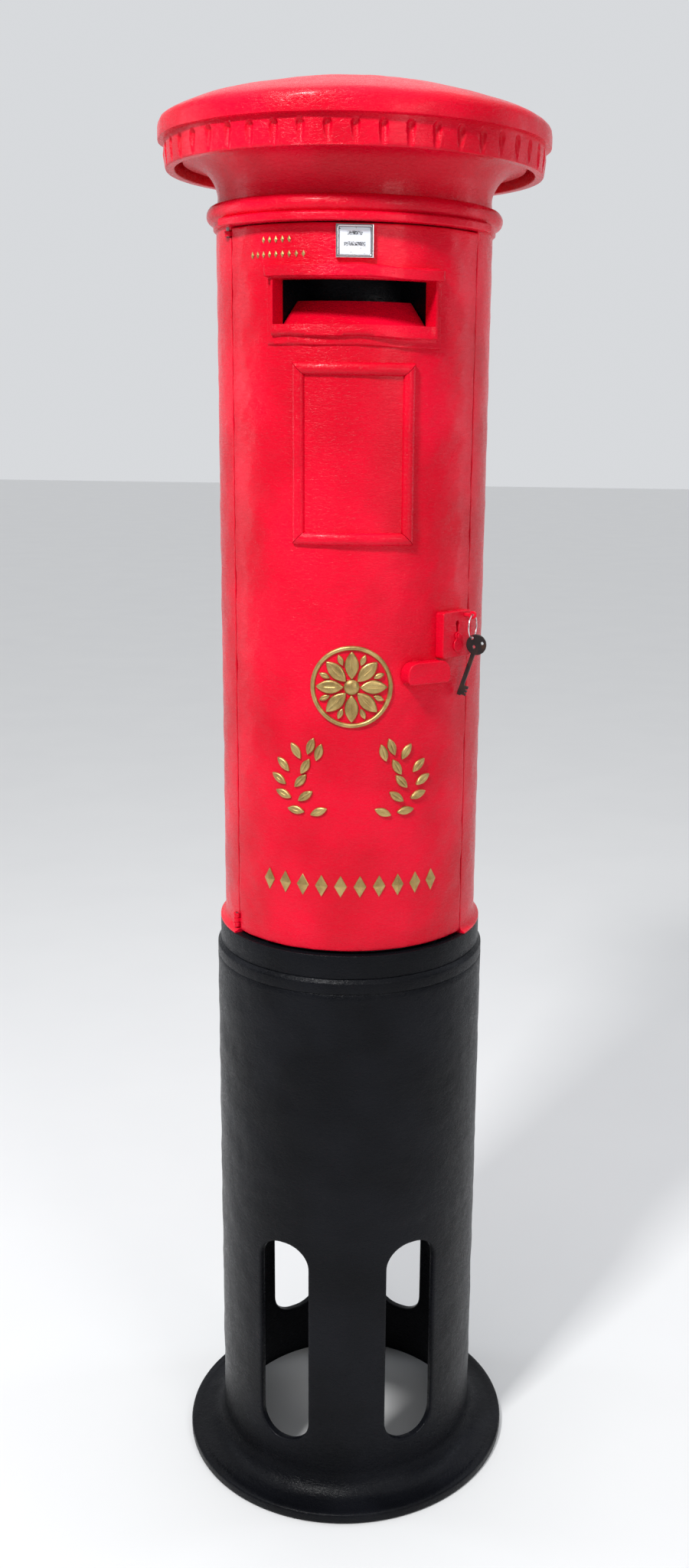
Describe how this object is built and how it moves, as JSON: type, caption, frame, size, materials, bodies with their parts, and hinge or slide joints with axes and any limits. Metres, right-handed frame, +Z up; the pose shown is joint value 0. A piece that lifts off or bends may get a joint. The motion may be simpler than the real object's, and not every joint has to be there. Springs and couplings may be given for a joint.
{
  "type": "pillar letter box",
  "caption": "Round cast-iron street letter box on a tall windowed foundation pedestal, with a hinged door, letter slot, lock and domed fluted cap.",
  "frame": {"origin": "centre of the round sole, on the ground", "axes": "+Z up along the barrel; the door, letter slot and lock face -Y; +X is to the right of someone facing the door"},
  "size_m": [0.536, 0.536, 2.08],
  "materials": {
    "red_paint": "thick gloss signal-red paint over cast iron",
    "black_paint": "thick gloss black paint over cast iron",
    "gilt_paint": "metallic gold paint on raised relief",
    "bright_metal": "worn bright plate",
    "enamel": "vitreous enamel, worn black patches",
    "plain_steel": "zinc-plated steel, dull",
    "dark_iron": "browned iron",
    "brass": "aged brass"
  },
  "bodies": {
    "post": {"pedestal": "black_paint", "body_shell": "red_paint", "cap": "red_paint", "cap_bolts": "plain_steel", "base_bolts": "plain_steel", "base_nuts": "plain_steel", "floor_plate": "plain_steel", "floor_screws": "plain_steel", "hinge_bracket": "red_paint", "hinge_screws": "plain_steel", "lower_hinge_pin": "plain_steel", "upper_hinge_pin": "plain_steel", "strike_plate": "plain_steel", "strike_screws": "plain_steel", "guard_hooks": "plain_steel"},
    "letter_guard": {"guard_frame": "plain_steel", "guard_bars": "plain_steel"},
    "door": {"door_leaf": "red_paint", "aperture_surround": "red_paint", "surround_screws": "plain_steel", "letter_baffle": "red_paint", "letter_hood": "black_paint", "hood_screws": "black_paint", "notice_frame": "red_paint", "notice_plate": "red_paint", "tablet_bezel": "bright_metal", "door_pull": "red_paint", "pull_screws": "plain_steel", "lock_boss": "red_paint", "ring_lug": "red_paint", "cover_pin": "red_paint", "lock_case": "dark_iron", "lock_cover": "dark_iron", "lock_screws": "plain_steel", "rosette": "gilt_paint", "leaf_sprays": "gilt_paint", "lozenge_band": "gilt_paint", "pip_rows": "gilt_paint"},
    "tablet": {"tablet_carrier": "plain_steel", "tablet_plate": "enamel"},
    "keyhole_cover": {"keyhole_cover": "red_paint"},
    "lock_bolt": {"lock_bolt": "plain_steel"},
    "lock_cam": {"lock_cam": "brass"},
    "lock_levers": {"lock_levers": "brass"},
    "split_ring": {"split_ring": "bright_metal"},
    "door_key": {"door_key": "dark_iron"}
  },
  "joints": [
    {"name": "door_hinge", "type": "hinge", "parent": "post", "child": "door", "pos_m": [-0.16705, -0.0926, 1.4], "axis": [0, 0, -1], "range_deg": [0, 110]},
    {"name": "guard_lift", "type": "slide", "parent": "post", "child": "letter_guard", "axis": [0, 0, 1], "range_m": [0, 0.018]},
    {"name": "tablet_pull", "type": "slide", "parent": "door", "child": "tablet", "axis": [0, 1, 0], "range_m": [0, 0.02]},
    {"name": "cover_turn", "type": "hinge", "parent": "door", "child": "keyhole_cover", "pos_m": [0.14603, -0.14102, 1.355], "axis": [-0.7193, 0.6947, 0], "range_deg": [0, 180]},
    {"name": "cam_turn", "type": "hinge", "parent": "door", "child": "lock_cam", "pos_m": [0.11509, -0.11114, 1.369], "axis": [0.7193, -0.6947, 0], "range_deg": [0, 90]},
    {"name": "bolt_throw", "type": "slide", "parent": "door", "child": "lock_bolt", "axis": [0.6947, 0.7193, 0], "range_m": [0, 0.0198]},
    {"name": "lever_lift", "type": "hinge", "parent": "door", "child": "lock_levers", "pos_m": [0.0953, -0.13165, 1.383], "axis": [0.7193, -0.6947, 0], "range_deg": [0, 8]},
    {"name": "ring_swing", "type": "hinge", "parent": "door", "child": "split_ring", "pos_m": [0.16719, -0.13398, 1.383], "axis": [-0.4067, -0.9135, 0], "range_deg": [-1, 60]},
    {"name": "key_swing", "type": "hinge", "parent": "split_ring", "child": "door_key", "pos_m": [0.16719, -0.13398, 1.351], "axis": [-0.4067, -0.9135, 0], "range_deg": [-1, 60]}
  ],
  "couplings": [
    {"joint": "cam_turn", "follows": "bolt_throw", "rad_per_m": 79.33},
    {"joint": "lever_lift", "follows": "bolt_throw", "rad_per_m": 7.05}
  ]
}
